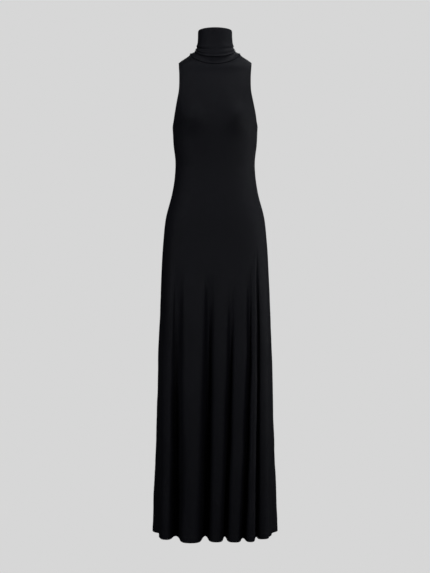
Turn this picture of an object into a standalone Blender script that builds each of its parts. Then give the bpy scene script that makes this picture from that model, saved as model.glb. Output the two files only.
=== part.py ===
"""A sleeveless, floor-length evening dress with a rolled turtleneck, filled out with no wearer.

Metres, +Z up. The front faces -Y. The origin is on the centre line, at the height where the shoulder
seams meet the neck, which is where the wearer holds the dress up.
"""

import math
from collections import namedtuple

import bmesh
import bpy
import numpy as np

# Driving dimensions, in millimetres, with heights from the neck end of the shoulder seams
MM = 0.001
WALL = 1.6
HEM = -1500.0
HIP = -592.0
WAIST = -337.0
UNDERARM = -233.0
SHOULDER_TIP = -30.0

# Seams leave about 0.3 between the pieces, and the middles of their walls stand this far apart
SEAM_GAP = 0.45
SHOULDER_SEAM_GAP = 0.5
NECK_CORNER_GAP = 1.7

# The seam ring round the base of the neck
NECK_HALF_WIDTH = 78.0
NECK_FRONT_DEPTH = 62.0
NECK_BACK_DEPTH = 52.0
NECK_FRONT_HEIGHT = -40.0
NECK_SIDE_HEIGHT = -2.0
NECK_BACK_HEIGHT = 4.0
NECK_DIP_POWER = 1.25

# Below the neck seam the chest and the back ease into their level sections over this height
NECK_EASE = 25.0

# Soft fullness that the cut gives the bust
BUST_HEIGHT = -212.0
BUST_FROM_CENTRE = 76.0
BUST_SPREAD = 42.0
BUST_RISE = 41.0
BUST_FULLNESS = 16.5

# Folds come in over about this share of their height, and then deepen by this power down to the hem
FOLD_START = 0.04
FOLD_POWER = 0.85

# A fold leans to its place on the hem by this power of its depth, so that it leans most near the hem
LEAN_POWER = 1.8

# The wall between a ridge and its trough is steeper than a wave's, by this share of the way across
ROUNDNESS = 0.08

# How finely the panels and the collar are divided: the columns between a ridge and its trough stand
# close to both, where the cloth turns, because it hangs straight between them
FOLD_STEPS = (0.0, 0.14, 0.5, 0.86)
SKIRT_ROWS, BODY_ROWS, YOKE_ROWS = 10, 8, 11
SHOULDER_COLUMNS = 16
COLLAR_COLUMNS = 48

# The first and the last column of the collar are joined where they are closer than this
CLOSING_DISTANCE = 0.01

# Level sections of the dress with no folds: the half width, the depths from the side seams' plane, and
# how square they are, where 2 is an ellipse. Above the shoulder's tip the half width is the shoulder
# seam's distance from the centre
Section = namedtuple("Section", "height half_width front_depth back_depth squareness")
SECTIONS = (
    Section(HEM, 196.4, 190.0, 184.0, 2.0),
    Section(-1216.0, 185.5, 174.0, 170.0, 2.1),
    Section(-932.0, 177.6, 155.0, 157.0, 2.4),
    Section(-743.0, 169.6, 138.0, 146.0, 2.9),
    Section(HIP, 162.3, 122.0, 131.0, 2.9),
    Section(-517.0, 154.2, 118.5, 122.0, 2.7),
    Section(-441.0, 134.8, 113.0, 103.0, 2.4),
    Section(-384.0, 126.2, 109.5, 89.5, 2.3),
    Section(WAIST, 124.5, 110.0, 83.0, 2.3),
    Section(-290.0, 130.0, 114.0, 84.0, 2.25),
    Section(UNDERARM, 133.4, 119.0, 91.0, 2.2),
    Section(-200.0, 135.8, 117.8, 96.0, 2.25),
    Section(-176.0, 137.0, 113.5, 99.0, 2.3),
    Section(-140.0, 138.6, 102.5, 101.0, 2.4),
    Section(-100.0, 139.0, 85.8, 97.0, 2.4),
    Section(-65.0, 135.0, 70.0, 85.0, 2.3),
    Section(-45.0, 125.5, 64.0, 77.0, 2.2),
    Section(SHOULDER_TIP, 114.0, 55.0, 70.0, 2.1),
    Section(-21.0, 103.0, 47.0, 65.5, 2.0),
    Section(-14.5, 93.0, 41.0, 62.4, 2.0),
    Section(-8.0, 84.0, 36.6, 59.3, 2.0),
    Section(NECK_SIDE_HEIGHT, NECK_HALF_WIDTH, 33.0, 56.0, 2.0),
    Section(4.0, 72.0, 30.0, 52.0, 2.0),
)

# The cut-in armhole: how far from the centre its edge lies
Armhole = namedtuple("Armhole", "height half_width")
ARMHOLE = (
    Armhole(UNDERARM, 133.4),
    Armhole(-218.0, 129.6),
    Armhole(-195.0, 125.2),
    Armhole(-157.0, 117.6),
    Armhole(-126.0, 111.8),
    Armhole(-85.0, 110.6),
    Armhole(SHOULDER_TIP, 114.0),
)

# The skirt's ridges and troughs from seam to seam: where each lies on the plan of the hem and how wide
# it is there, the angle round the hip that it comes down from, and the height where it fades out
Fold = namedtuple("Fold", "hem_x hem_depth width hip_angle top")
FRONT_FOLDS = (
    Fold(-196.4, 0.0, 20.0, -90.0, HIP),
    Fold(-176.0, 50.0, 14.0, -76.0, -780.0),
    Fold(-151.0, 158.0, 38.0, -57.0, -640.0),
    Fold(-119.0, 98.0, 24.0, -41.0, -670.0),
    Fold(-76.0, 213.0, 63.0, -22.0, -670.0),
    Fold(-31.0, 97.0, 18.0, -6.0, -690.0),
    Fold(2.0, 198.0, 41.0, 7.0, -690.0),
    Fold(29.5, 106.0, 11.0, 16.5, -780.0),
    Fold(58.0, 200.0, 40.0, 28.0, -690.0),
    Fold(84.0, 132.0, 14.0, 38.0, -730.0),
    Fold(108.0, 194.0, 27.0, 45.0, -640.0),
    Fold(125.0, 112.0, 10.0, 49.8, -600.0),
    Fold(150.0, 148.0, 42.0, 62.0, -620.0),
    Fold(174.0, 60.0, 18.0, 76.0, -800.0),
    Fold(196.4, 0.0, 20.0, 90.0, HIP),
)
BACK_FOLDS = (
    Fold(-196.4, 0.0, 20.0, -90.0, HIP),
    Fold(-172.0, 58.0, 20.0, -76.0, -780.0),
    Fold(-158.0, 132.0, 40.0, -60.0, -680.0),
    Fold(-128.0, 88.0, 22.0, -47.0, -640.0),
    Fold(-96.0, 182.0, 44.0, -34.0, -700.0),
    Fold(-64.0, 104.0, 18.0, -22.0, -760.0),
    Fold(-30.0, 194.0, 46.0, -10.0, -700.0),
    Fold(4.0, 100.0, 24.0, 1.0, -780.0),
    Fold(36.0, 190.0, 38.0, 12.0, -740.0),
    Fold(66.0, 112.0, 16.0, 24.0, -700.0),
    Fold(96.0, 180.0, 44.0, 35.0, -720.0),
    Fold(127.0, 94.0, 20.0, 47.0, -640.0),
    Fold(156.0, 136.0, 40.0, 60.0, -700.0),
    Fold(173.0, 56.0, 22.0, 76.0, -760.0),
    Fold(196.4, 0.0, 20.0, 90.0, HIP),
)
FOLDS_BLEND_TOP, FOLDS_BLEND_END = -330.0, HIP

# The collar as one ring after another: up its inner layer from the neck seam, over the fold, and down
# its outer layer to the turned edge, with two soft slouch wrinkles on the way
Ring = namedtuple("Ring", "half_width front_depth back_depth front_height side_height back_height")
COLLAR = (
    Ring(78.0, 62.0, 52.0, -39.2, 0.3, 4.7),
    Ring(69.5, 59.6, 50.6, -33.0, 3.6, 8.5),
    Ring(61.0, 56.8, 49.4, -22.0, 8.6, 13.5),
    Ring(55.6, 54.6, 48.2, -12.0, 16.0, 21.0),
    Ring(51.8, 52.2, 46.8, 6.0, 29.0, 33.0),
    Ring(50.0, 50.4, 46.0, 34.0, 47.0, 50.0),
    Ring(49.4, 49.8, 46.0, 68.0, 67.0, 68.0),
    Ring(50.0, 50.4, 46.6, 72.2, 70.8, 72.2),
    Ring(51.5, 51.9, 48.1, 74.0, 72.4, 74.0),
    Ring(52.9, 53.3, 49.5, 72.2, 70.8, 72.2),
    Ring(53.5, 54.4, 50.1, 67.0, 66.0, 67.0),
    Ring(53.9, 53.4, 50.6, 47.0, 50.0, 54.0),
    Ring(55.2, 53.8, 51.6, 27.0, 34.0, 42.0),
    Ring(58.0, 55.4, 52.8, 13.0, 24.0, 34.0),
    Ring(57.7, 55.4, 52.4, 6.0, 19.5, 30.0),
    Ring(60.8, 57.6, 54.0, -5.0, 14.5, 26.0),
    Ring(60.8, 58.0, 53.6, -11.0, 12.0, 23.0),
    Ring(63.6, 60.0, 54.0, -18.0, 8.6, 20.0),
)

JERSEY_COLOUR = (0.011, 0.011, 0.0145, 1.0)
JERSEY_ROUGHNESS = 0.72


def smooth(rows, column, at):
    """A table's named column as a smooth curve over its first column, read at one place."""
    places = np.array([row[0] for row in rows])
    values = np.array([getattr(row, column) for row in rows])
    slopes = np.gradient(values, places)
    i = int(np.clip(np.searchsorted(places, at) - 1, 0, len(rows) - 2))
    span = places[i + 1] - places[i]
    t = min(max((at - places[i]) / span, 0.0), 1.0)
    rise = values[i + 1] - values[i]
    start, end = slopes[i] * span, slopes[i + 1] * span
    return values[i] + t * (start + t * (3 * rise - 2 * start - end + t * (start + end - 2 * rise)))


def mix(a, b, share):
    return a + (b - a) * share


def ease(at, start, end):
    """Rises smoothly from 0 at start to 1 at end."""
    t = min(max((at - start) / (end - start), 0.0), 1.0)
    return t * t * (3 - 2 * t)


def past_seam(seam, inside):
    """The point that a curve would reach past the side seam, so that it crosses the seam squarely."""
    beyond = 2 * seam - inside
    beyond[0] = inside[0]
    return beyond


def spline(a, b, c, d, t):
    """A round curve from b to c, where a and d are the points before and after them."""
    cubed = 3 * b - a - 3 * c + d
    return 0.5 * (2 * b + (c - a) * t + (2 * a - 5 * b + 4 * c - d) * t**2 + cubed * t**3)


def across(start_width, end_width, t):
    """The share of the way between two folds where a column stands: the wider fold takes more of it."""
    share = start_width / (start_width + end_width)
    t += ROUNDNESS * math.sin(math.tau * t)
    return t / ((1 / share - 2) * (1 - t) + 1)


def column_table(folds):
    """For each column of a panel, what its fold's row says, with the rows between worked out."""
    points = [np.array(fold) for fold in folds]
    ends = [past_seam(points[0], points[1]), *points, past_seam(points[-1], points[-2])]
    last = len(folds) - 2
    columns = []
    for i in range(last + 1):
        start, end = folds[i], folds[i + 1]
        for t in FOLD_STEPS:
            column = Fold(*spline(*ends[i : i + 4], t))
            if i == 0:
                column = column._replace(hem_x=mix(start.hem_x, end.hem_x, t**2))
            elif i == last:
                column = column._replace(hem_x=mix(end.hem_x, start.hem_x, (1 - t) ** 2))
            else:
                share = across(start.width, end.width, t)
                hem_x = mix(start.hem_x, end.hem_x, share)
                hip_angle = mix(start.hip_angle, end.hip_angle, share)
                column = column._replace(hem_x=hem_x, hip_angle=hip_angle)
            columns.append(column)
    return columns + [folds[-1]]


def depth_name(facing):
    return "front_depth" if facing < 0 else "back_depth"


def bust(x, height):
    """How far the front is pushed out at a place by the two soft fullnesses of the bust."""
    sideways = (abs(x) - BUST_FROM_CENTRE) / BUST_SPREAD
    upwards = (height - BUST_HEIGHT) / BUST_RISE
    return BUST_FULLNESS * math.exp(-sideways**2 - upwards**2)


def fold_growth(top, height):
    """How much of its depth at the hem a fold has at a height, from 0 at its top to 1 at the hem."""
    down = min(max((top - height) / (top - HEM), 0.0), 1.0)
    return down**FOLD_POWER * (1 - math.exp(-down / FOLD_START))


def outward(share, squareness):
    """How far out a level section is, as a share of its depth, at a share of its half width."""
    return max(1 - abs(share) ** squareness, 0.0) ** (1 / squareness)


def skirt_point(column, evenly, height, facing):
    """A point of a panel below the underarm, where a panel runs from side seam to side seam."""
    blend = ease(height, FOLDS_BLEND_TOP, FOLDS_BLEND_END)
    angle = math.radians(mix(evenly * 90, column.hip_angle, blend))
    half_width = smooth(SECTIONS, "half_width", height)
    depth = smooth(SECTIONS, depth_name(facing), height)
    squareness = smooth(SECTIONS, "squareness", height)
    x, out = half_width * math.sin(angle), depth * outward(math.sin(angle), squareness)
    plain_x = SECTIONS[0].half_width * math.sin(angle)
    plain_out = getattr(SECTIONS[0], depth_name(facing)) * math.cos(angle)
    grown = fold_growth(column.top, height)
    x += (column.hem_x - plain_x) * grown**LEAN_POWER
    out += (column.hem_depth - plain_out) * grown
    if facing < 0:
        out += bust(x, height)
    return x, out, height


def neck_point(x, facing):
    """Where the neck seam lies at a distance from the centre: its depth and height."""
    forward = math.sqrt(max(1 - (x / NECK_HALF_WIDTH) ** 2, 0.0))
    depth = NECK_FRONT_DEPTH if facing < 0 else NECK_BACK_DEPTH
    height = NECK_FRONT_HEIGHT if facing < 0 else NECK_BACK_HEIGHT
    return depth * forward, mix(NECK_SIDE_HEIGHT, height, forward**NECK_DIP_POWER)


def top_point(evenly, columns, facing):
    """Where a column ends at the top: one of them ends just where the neck meets the shoulder."""
    inner = 1 - 2 * SHOULDER_COLUMNS / columns
    side = abs(evenly)
    if side <= inner:
        x = NECK_HALF_WIDTH * math.sin(math.radians(90 * side / inner))
        out, height = neck_point(x, facing)
    else:
        height = mix(NECK_SIDE_HEIGHT, SHOULDER_TIP, (side - inner) / (1 - inner))
        x, out = smooth(SECTIONS, "half_width", height), 0.0
    return math.copysign(x, evenly), out, height


def section_out(x, height, facing):
    """How far out the level section at a height is, at a distance from the centre."""
    half_width = smooth(SECTIONS, "half_width", height)
    depth = smooth(SECTIONS, depth_name(facing), height)
    out = depth * outward(x / half_width, smooth(SECTIONS, "squareness", height))
    if facing < 0:
        out += bust(x, height)
    return out


def yoke_point(evenly, columns, share, facing):
    """A point of a panel above the underarm, from armhole to armhole and up to the neck or shoulder."""
    top_x, top_out, top_height = top_point(evenly, columns, facing)
    height = mix(UNDERARM, top_height, share)
    edge = smooth(ARMHOLE, "half_width", mix(UNDERARM, SHOULDER_TIP, share))
    x = edge * mix(math.sin(math.radians(evenly * 90)), top_x / ARMHOLE[-1].half_width, share)
    near_top = max(1 - (top_height - height) / NECK_EASE, 0.0) ** 2
    to_seam = top_out - section_out(top_x, top_height, facing)
    return x, section_out(x, height, facing) + to_seam * near_top, height


def shoulder_gap(x):
    """The middles of the two walls stand further apart where they meet at a steeper ridge."""
    return mix(NECK_CORNER_GAP, SHOULDER_SEAM_GAP, ease(x, NECK_HALF_WIDTH, ARMHOLE[-1].half_width))


def row_places():
    """Each row of a panel: a height below the underarm, or else a share of the way above it."""
    skirt = [mix(HEM, HIP, i / SKIRT_ROWS) for i in range(SKIRT_ROWS)]
    body = [mix(HIP, UNDERARM, i / BODY_ROWS) for i in range(BODY_ROWS)]
    yoke = [(1 - math.cos(math.pi * i / YOKE_ROWS)) / 2 for i in range(YOKE_ROWS + 1)]
    return [(height, None) for height in skirt + body] + [(None, share) for share in yoke]


def make_grid(columns, rows, place):
    """A grid of faces whose corners are put where place(column, row) says, in millimetres."""
    grid = bmesh.new()
    bmesh.ops.create_grid(grid, x_segments=columns, y_segments=rows, size=0.5)
    for vertex in grid.verts:
        column = round((vertex.co.x + 0.5) * columns)
        row = round((vertex.co.y + 0.5) * rows)
        vertex.co = [value * MM for value in place(column, row)]
    return grid


def finish(grid, name, collection, material):
    """Makes a grid an object and gives it the cloth's thickness."""
    mesh = bpy.data.meshes.new(name)
    grid.to_mesh(mesh)
    grid.free()
    mesh.shade_smooth()
    mesh.materials.append(material)
    cloth = bpy.data.objects.new(name, mesh)
    collection.objects.link(cloth)
    wall = cloth.modifiers.new("wall", "SOLIDIFY")
    wall.thickness = WALL * MM
    wall.offset = 0
    wall.use_even_offset = True


def make_panel(name, folds, facing, collection, material):
    """The front or the back, one piece of cloth from the shoulders to the hem."""
    table = column_table(folds)
    columns = len(table) - 1
    places = row_places()

    def place(column, row):
        evenly = 2 * column / columns - 1
        height, share = places[row]
        gap = SEAM_GAP
        if share is None:
            x, out, height = skirt_point(table[column], evenly, height, facing)
        else:
            x, out, height = yoke_point(evenly, columns, share, facing)
            gap = mix(SEAM_GAP, shoulder_gap(abs(x)), share)
        return x, facing * (out + gap / 2), height

    grid = make_grid(columns, len(places) - 1, place)
    if facing > 0:
        bmesh.ops.reverse_faces(grid, faces=grid.faces)
    finish(grid, name, collection, material)


def make_collar(collection, material):
    """The rolled turtleneck, one tube of cloth that is turned over on itself."""

    def place(column, row):
        ring = COLLAR[row]
        angle = math.tau * column / COLLAR_COLUMNS
        forward = math.cos(angle)
        facing_front = forward > 0
        depth = ring.front_depth if facing_front else ring.back_depth
        end = ring.front_height if facing_front else ring.back_height
        height = mix(ring.side_height, end, abs(forward) ** NECK_DIP_POWER)
        return ring.half_width * math.sin(angle), -depth * forward, height

    grid = make_grid(COLLAR_COLUMNS, len(COLLAR) - 1, place)
    bmesh.ops.remove_doubles(grid, verts=grid.verts, dist=CLOSING_DISTANCE * MM)
    finish(grid, "collar", collection, material)


def make_jersey():
    material = bpy.data.materials.new("black_jersey")
    material.use_nodes = True
    shader = material.node_tree.nodes["Principled BSDF"]
    shader.inputs["Base Color"].default_value = JERSEY_COLOUR
    shader.inputs["Roughness"].default_value = JERSEY_ROUGHNESS
    shader.inputs["Metallic"].default_value = 0.0
    return material


def main():
    for old in list(bpy.data.objects):
        bpy.data.objects.remove(old)
    collection = bpy.data.collections.new("evening dress")
    bpy.context.scene.collection.children.link(collection)
    jersey = make_jersey()
    make_panel("front", FRONT_FOLDS, -1, collection, jersey)
    make_panel("back", BACK_FOLDS, 1, collection, jersey)
    make_collar(collection, jersey)


main()
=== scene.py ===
"""The looks of the sleeveless evening dress with a rolled turtleneck, in a plain studio.

Each panel and the collar is a thin shell of jersey on the form of the solid that it stands for, with its
turned edges, seams, creases and stitching. Sizes are in millimetres until a mesh is made.
"""

import math
from collections import namedtuple

import bpy
import numpy as np
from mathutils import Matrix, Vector


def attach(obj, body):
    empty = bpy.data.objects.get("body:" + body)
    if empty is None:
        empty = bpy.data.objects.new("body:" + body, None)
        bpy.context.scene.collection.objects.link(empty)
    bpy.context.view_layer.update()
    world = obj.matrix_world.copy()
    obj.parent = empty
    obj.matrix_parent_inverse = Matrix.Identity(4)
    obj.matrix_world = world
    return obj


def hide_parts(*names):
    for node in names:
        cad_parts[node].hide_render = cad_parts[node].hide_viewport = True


# Driving dimensions of the cut, the same as in the part's source
MM = 0.001
HEM = -1500.0
HIP = -592.0
WAIST = -337.0
UNDERARM = -233.0
SHOULDER_TIP = -30.0
NECK_HALF_WIDTH = 78.0
NECK_FRONT_DEPTH = 62.0
NECK_BACK_DEPTH = 52.0
NECK_FRONT_HEIGHT = -40.0
NECK_SIDE_HEIGHT = -2.0
NECK_BACK_HEIGHT = 4.0
NECK_DIP_POWER = 1.25
NECK_EASE = 25.0
BUST_HEIGHT = -212.0
BUST_FROM_CENTRE = 76.0
BUST_SPREAD = 42.0
BUST_RISE = 41.0
BUST_FULLNESS = 16.5
FOLD_START = 0.04
FOLD_POWER = 0.85
LEAN_POWER = 1.8
ROUNDNESS = 0.08
FOLDS_BLEND_TOP, FOLDS_BLEND_END = -330.0, HIP

# The real cloth, and how far apart the middles of two layers lie that are sewn or turned together
CLOTH = 0.85
LAYER = 1.1
SIDE_LAYER = 1.35 * LAYER
SEAM_GAP = 1.0

# Turned edges: the foot of the skirt, the armholes, the collar, and the allowances inside the seams
HEM_TURN = 22.0
ARMHOLE_TURN = 8.0
COLLAR_TURN = 10.0
ALLOWANCE = 6.0
ARMHOLE_TURN_STARTS, ARMHOLE_TURN_FULL = UNDERARM - 4, UNDERARM + 12

# Where the rows of a turned edge lie, as shares of its width, and how far its fold passes the edge, as a
# share of the cloth's first row
TURN_SHARES = (1.0, 0.66, 0.33, 0.1)
FOLD_REACH = 0.25

# Where the stitches run: up from the hem's fold, and how far inside the turned edges' inner lines
HEM_STITCHES = (18.5, 21.5)
STITCH_INSET = 1.0

# How finely the panels and the collar are divided
STEPS = 12
HEM_ROWS = (
    0.0, 1.0, 2.5, 5.0, 8.0, 11.0, 14.0, 16.5, 17.5, 18.5, 19.5, 20.5, 21.5, 22.5, 23.5, 25.0, 29.0
)
BODY_ROW = 8.2
YOKE_ROWS = 60
SHOULDER_SHARE = 2 / 7
COLLAR_COLUMNS = 240
RING_STEPS = 7

Section = namedtuple("Section", "height half_width front_depth back_depth squareness")
SECTIONS = (
    Section(HEM, 196.4, 190.0, 184.0, 2.0),
    Section(-1216.0, 185.5, 174.0, 170.0, 2.1),
    Section(-932.0, 177.6, 155.0, 157.0, 2.4),
    Section(-743.0, 169.6, 138.0, 146.0, 2.9),
    Section(HIP, 162.3, 122.0, 131.0, 2.9),
    Section(-517.0, 154.2, 118.5, 122.0, 2.7),
    Section(-441.0, 134.8, 113.0, 103.0, 2.4),
    Section(-384.0, 126.2, 109.5, 89.5, 2.3),
    Section(WAIST, 124.5, 110.0, 83.0, 2.3),
    Section(-290.0, 130.0, 114.0, 84.0, 2.25),
    Section(UNDERARM, 133.4, 119.0, 91.0, 2.2),
    Section(-200.0, 135.8, 117.8, 96.0, 2.25),
    Section(-176.0, 137.0, 113.5, 99.0, 2.3),
    Section(-140.0, 138.6, 102.5, 101.0, 2.4),
    Section(-100.0, 139.0, 85.8, 97.0, 2.4),
    Section(-65.0, 135.0, 70.0, 85.0, 2.3),
    Section(-45.0, 125.5, 64.0, 77.0, 2.2),
    Section(SHOULDER_TIP, 114.0, 55.0, 70.0, 2.1),
    Section(-21.0, 103.0, 47.0, 65.5, 2.0),
    Section(-14.5, 93.0, 41.0, 62.4, 2.0),
    Section(-8.0, 84.0, 36.6, 59.3, 2.0),
    Section(NECK_SIDE_HEIGHT, NECK_HALF_WIDTH, 33.0, 56.0, 2.0),
    Section(4.0, 72.0, 30.0, 52.0, 2.0),
)

Armhole = namedtuple("Armhole", "height half_width")
ARMHOLE = (
    Armhole(UNDERARM, 133.4),
    Armhole(-218.0, 129.6),
    Armhole(-195.0, 125.2),
    Armhole(-157.0, 117.6),
    Armhole(-126.0, 111.8),
    Armhole(-85.0, 110.6),
    Armhole(SHOULDER_TIP, 114.0),
)

# The skirt's ridges and troughs from seam to seam: where each lies on the plan of the hem and how wide
# it is there, the angle round the hip that it comes down from, and the height where it fades out
Fold = namedtuple("Fold", "hem_x hem_depth width hip_angle top")
FRONT_FOLDS = (
    Fold(-196.4, 0.0, 20.0, -90.0, HIP),
    Fold(-176.0, 50.0, 14.0, -76.0, -780.0),
    Fold(-151.0, 158.0, 38.0, -57.0, -640.0),
    Fold(-119.0, 98.0, 24.0, -41.0, -670.0),
    Fold(-76.0, 213.0, 63.0, -22.0, -670.0),
    Fold(-31.0, 97.0, 18.0, -6.0, -690.0),
    Fold(2.0, 198.0, 41.0, 7.0, -690.0),
    Fold(29.5, 106.0, 11.0, 16.5, -780.0),
    Fold(58.0, 200.0, 40.0, 28.0, -690.0),
    Fold(84.0, 132.0, 14.0, 38.0, -730.0),
    Fold(108.0, 194.0, 27.0, 45.0, -640.0),
    Fold(125.0, 112.0, 10.0, 49.8, -600.0),
    Fold(150.0, 148.0, 42.0, 62.0, -620.0),
    Fold(174.0, 60.0, 18.0, 76.0, -800.0),
    Fold(196.4, 0.0, 20.0, 90.0, HIP),
)
BACK_FOLDS = (
    Fold(-196.4, 0.0, 20.0, -90.0, HIP),
    Fold(-172.0, 58.0, 20.0, -76.0, -780.0),
    Fold(-158.0, 132.0, 40.0, -60.0, -680.0),
    Fold(-128.0, 88.0, 22.0, -47.0, -640.0),
    Fold(-96.0, 182.0, 44.0, -34.0, -700.0),
    Fold(-64.0, 104.0, 18.0, -22.0, -760.0),
    Fold(-30.0, 194.0, 46.0, -10.0, -700.0),
    Fold(4.0, 100.0, 24.0, 1.0, -780.0),
    Fold(36.0, 190.0, 38.0, 12.0, -740.0),
    Fold(66.0, 112.0, 16.0, 24.0, -700.0),
    Fold(96.0, 180.0, 44.0, 35.0, -720.0),
    Fold(127.0, 94.0, 20.0, 47.0, -640.0),
    Fold(156.0, 136.0, 40.0, 60.0, -700.0),
    Fold(173.0, 56.0, 22.0, 76.0, -760.0),
    Fold(196.4, 0.0, 20.0, 90.0, HIP),
)

# The collar as one ring after another, up its inner layer, over the fold and down its outer layer
Ring = namedtuple("Ring", "half_width front_depth back_depth front_height side_height back_height")
COLLAR = (
    Ring(75.2, 59.4, 49.4, -45.0, -6.6, -1.0),
    Ring(76.0, 60.2, 50.2, -41.6, -3.0, 2.4),
    Ring(78.0, 62.0, 52.0, -39.2, 0.3, 4.7),
    Ring(69.5, 59.6, 50.6, -33.0, 3.6, 8.5),
    Ring(61.0, 56.8, 49.4, -22.0, 8.6, 13.5),
    Ring(55.6, 54.6, 48.2, -12.0, 16.0, 21.0),
    Ring(51.8, 52.2, 46.8, 6.0, 29.0, 33.0),
    Ring(50.0, 50.4, 46.0, 34.0, 47.0, 50.0),
    Ring(49.4, 49.8, 46.0, 68.0, 67.0, 68.0),
    Ring(50.0, 50.4, 46.6, 72.2, 70.8, 72.2),
    Ring(51.5, 51.9, 48.1, 74.0, 72.4, 74.0),
    Ring(52.9, 53.3, 49.5, 72.2, 70.8, 72.2),
    Ring(53.5, 54.4, 50.1, 67.0, 66.0, 67.0),
    Ring(53.9, 53.4, 50.6, 47.0, 50.0, 54.0),
    Ring(55.2, 53.8, 51.6, 27.0, 34.0, 42.0),
    Ring(58.0, 55.4, 52.8, 13.0, 24.0, 34.0),
    Ring(57.7, 55.4, 52.4, 6.0, 19.5, 30.0),
    Ring(60.8, 57.6, 54.0, -5.0, 14.5, 26.0),
    Ring(60.8, 58.0, 53.6, -11.0, 12.0, 23.0),
    Ring(63.6, 60.0, 54.0, -18.0, 8.6, 20.0),
)

# Where the neck seam lies among the collar's rings, and where its outer layer starts after the fold
SEAM_RING = 2.0
OUTER_STARTS, OUTER_FULL = 10.5, 13.0

# Slouch wrinkles on the collar's outer layer, by ring: they are deep at the sides and fade at the front
Slouch = namedtuple("Slouch", "ring spread rise")
SLOUCH = (
    Slouch(14.8, 0.42, 0.9),
    Slouch(15.9, 0.36, -2.0),
    Slouch(17.0, 0.40, 1.2),
    Slouch(17.9, 0.34, -1.9),
)
SLOUCH_AT_BACK = 0.75
SLOUCH_AT_LEFT, SLOUCH_AT_RIGHT = 1.15, 0.9
SLOUCH_POWER, SLOUCH_SIDE_FADE = 1.4, 0.6

# Slow waves round the collar: their height, how many there are, how much each ring turns them, and where
# they start. The first two bend the wrinkles up and down, and the others make the outer layer uneven.
Wave = namedtuple("Wave", "rise count turn start")
SLOUCH_WAVES = (Wave(0.22, 2, 0.0, 0.6), Wave(0.12, 5, 0.0, 1.9))
COLLAR_WAVES = (Wave(0.16, 3, 1.1, 0.4), Wave(0.10, 7, -0.7, 2.0))

# Creases, each given from one end to the other: how far the middle bows sideways, the half width, and
# how far it rises out of the cloth or sinks in
Crease = namedtuple("Crease", "x height end_x end_height bow width rise")
FRONT_CREASES = (
    Crease(-128.0, -226.0, -66.0, -186.0, 5.0, 11.0, -1.3),
    Crease(-130.0, -246.0, -58.0, -222.0, 7.0, 14.0, -1.7),
    Crease(129.0, -228.0, 74.0, -192.0, -4.0, 10.0, -1.1),
    Crease(128.0, -252.0, 52.0, -214.0, -8.0, 16.0, -1.9),
    Crease(-122.0, -318.0, -60.0, -332.0, 4.0, 9.0, 0.8),
    Crease(-123.0, -352.0, -48.0, -368.0, -3.0, 11.0, -1.0),
    Crease(123.0, -326.0, 70.0, -346.0, -4.0, 9.0, 0.8),
    Crease(124.0, -366.0, 54.0, -352.0, 5.0, 12.0, -1.1),
    Crease(132.0, -430.0, 66.0, -462.0, 5.0, 13.0, -1.0),
    Crease(150.0, -514.0, 92.0, -498.0, 6.0, 10.0, -1.3),
    Crease(-146.0, -486.0, -88.0, -506.0, 5.0, 12.0, -1.0),
    Crease(-138.0, -620.0, -150.0, -800.0, 2.0, 9.0, 1.4),
    Crease(-112.0, -690.0, -121.0, -880.0, -3.0, 8.0, -1.6),
    Crease(-46.0, -700.0, -60.0, -930.0, 4.0, 12.0, 1.2),
    Crease(20.0, -640.0, 12.0, -860.0, -3.0, 14.0, 1.3),
    Crease(82.0, -720.0, 90.0, -960.0, 2.0, 9.0, 1.2),
    Crease(-94.0, -1180.0, -101.0, -1560.0, 2.0, 9.0, -3.2),
    Crease(-86.0, -1340.0, -91.0, -1560.0, 2.0, 5.5, -3.6),
    Crease(-104.0, -1290.0, -99.0, -1470.0, -2.0, 6.0, -1.8),
    Crease(-70.0, -1010.0, -78.0, -1250.0, 3.0, 8.0, 1.6),
    Crease(2.0, -1180.0, 8.0, -1400.0, 2.0, 5.0, -1.2),
    Crease(58.0, -1090.0, 64.0, -1330.0, -2.0, 6.0, 1.4),
)
BACK_CREASES = (
    Crease(-126.0, -222.0, -70.0, -170.0, -5.0, 12.0, -1.2),
    Crease(127.0, -226.0, 64.0, -182.0, 6.0, 12.0, -1.3),
    Crease(-112.0, -302.0, 34.0, -312.0, 4.0, 10.0, -1.2),
    Crease(104.0, -318.0, -28.0, -326.0, -5.0, 10.0, 1.3),
    Crease(-118.0, -338.0, 66.0, -344.0, -4.0, 11.0, -1.5),
    Crease(118.0, -358.0, -72.0, -360.0, 4.0, 11.0, 1.3),
    Crease(-110.0, -378.0, -8.0, -392.0, 4.0, 11.0, -1.1),
    Crease(128.0, -420.0, 62.0, -452.0, -4.0, 12.0, -1.0),
    Crease(-142.0, -500.0, -84.0, -528.0, 5.0, 13.0, -1.1),
    Crease(-98.0, -640.0, -104.0, -860.0, 3.0, 10.0, 1.3),
    Crease(-36.0, -660.0, -30.0, -900.0, -3.0, 11.0, 1.2),
    Crease(44.0, -700.0, 40.0, -940.0, 3.0, 9.0, -1.3),
    Crease(108.0, -660.0, 112.0, -880.0, -2.0, 10.0, 1.4),
    Crease(-34.0, -1330.0, -28.0, -1490.0, 2.0, 5.5, -2.4),
    Crease(94.0, -1250.0, 99.0, -1440.0, -2.0, 6.0, -1.9),
    Crease(34.0, -1100.0, 38.0, -1330.0, 2.0, 6.0, 1.3),
)

# A crease is narrow where it starts, widens along its length, and rises and fades over these shares of it
CREASE_WIDTH, CREASE_WIDENING = 0.75, 0.6
CREASE_RISES = (-0.08, 0.22)
CREASE_FADES = (0.5, 1.08)

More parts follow.
